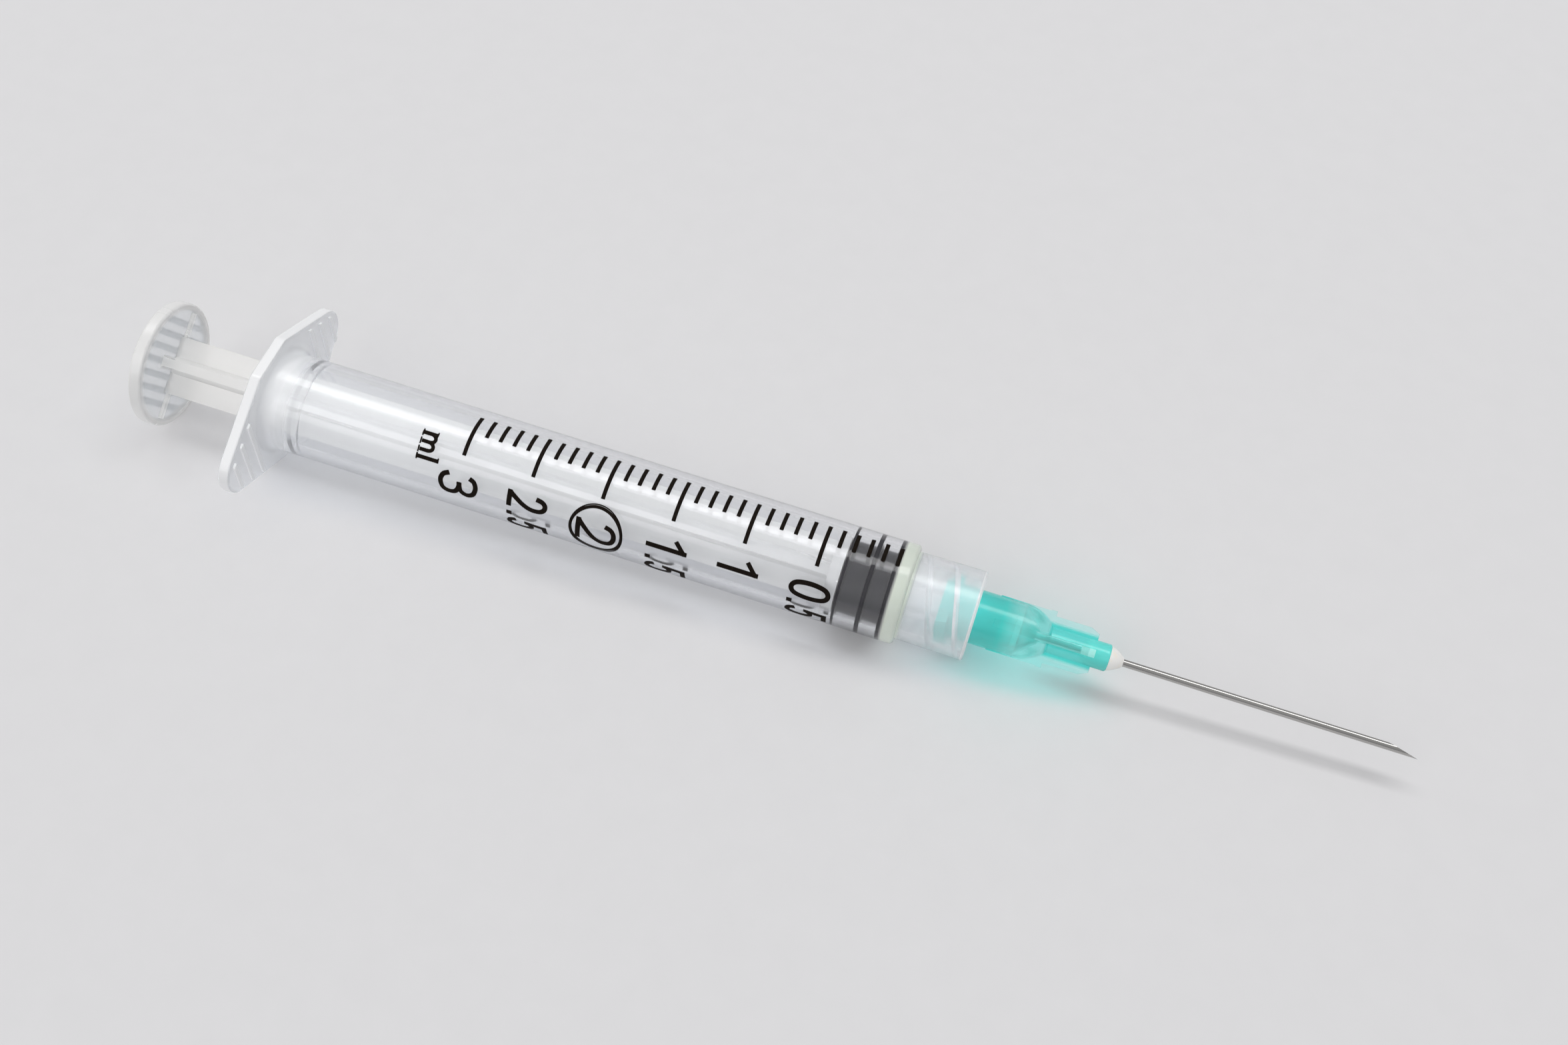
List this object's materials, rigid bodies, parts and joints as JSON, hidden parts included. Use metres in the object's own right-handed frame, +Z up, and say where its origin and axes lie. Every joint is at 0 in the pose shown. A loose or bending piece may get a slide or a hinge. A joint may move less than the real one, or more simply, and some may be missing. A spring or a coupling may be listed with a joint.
{
  "type": "luer lock syringe",
  "caption": "Small disposable syringe with a winged finger flange, cross-vaned plunger, rubber seal and a screwed-on luer lock needle.",
  "frame": {"origin": "under the centre of the bounding box, on the surface that the syringe lies on", "axes": "+X along the syringe towards the needle's point, which dips 1.33 degrees below level as it rests; +Z up; the flange's long way along Y"},
  "size_m": [0.1446, 0.026, 0.0149],
  "materials": {
    "clear_polypropylene": "translucent, glossy",
    "milky_polypropylene": "translucent, satin",
    "seal_rubber": "satin, siliconed",
    "scale_ink": "printed, matt",
    "green_polypropylene": "translucent, glossy",
    "white_adhesive": "glossy",
    "cannula_steel": "drawn and polished"
  },
  "bodies": {
    "barrel": {"barrel": "clear_polypropylene", "graduation": "scale_ink"},
    "seal": {"plunger_seal": "seal_rubber"},
    "plunger": {"plunger_rod": "milky_polypropylene"},
    "needle": {"needle_hub": "green_polypropylene", "adhesive_bead": "white_adhesive", "cannula": "cannula_steel"}
  },
  "joints": [
    {"name": "plunger_slide", "type": "slide", "parent": "barrel", "child": "seal", "axis": [-0.9997, 0, 0.0233], "range_m": [0, 0.0615]},
    {"name": "plunger_spin", "type": "hinge", "parent": "seal", "child": "plunger", "pos_m": [0.00976, 0, 0.00574], "axis": [0.9997, 0, -0.0233], "continuous": true},
    {"name": "needle_release", "type": "slide", "parent": "barrel", "child": "needle", "axis": [0.9997, 0, -0.0233], "range_m": [0, 0.012]}
  ]
}
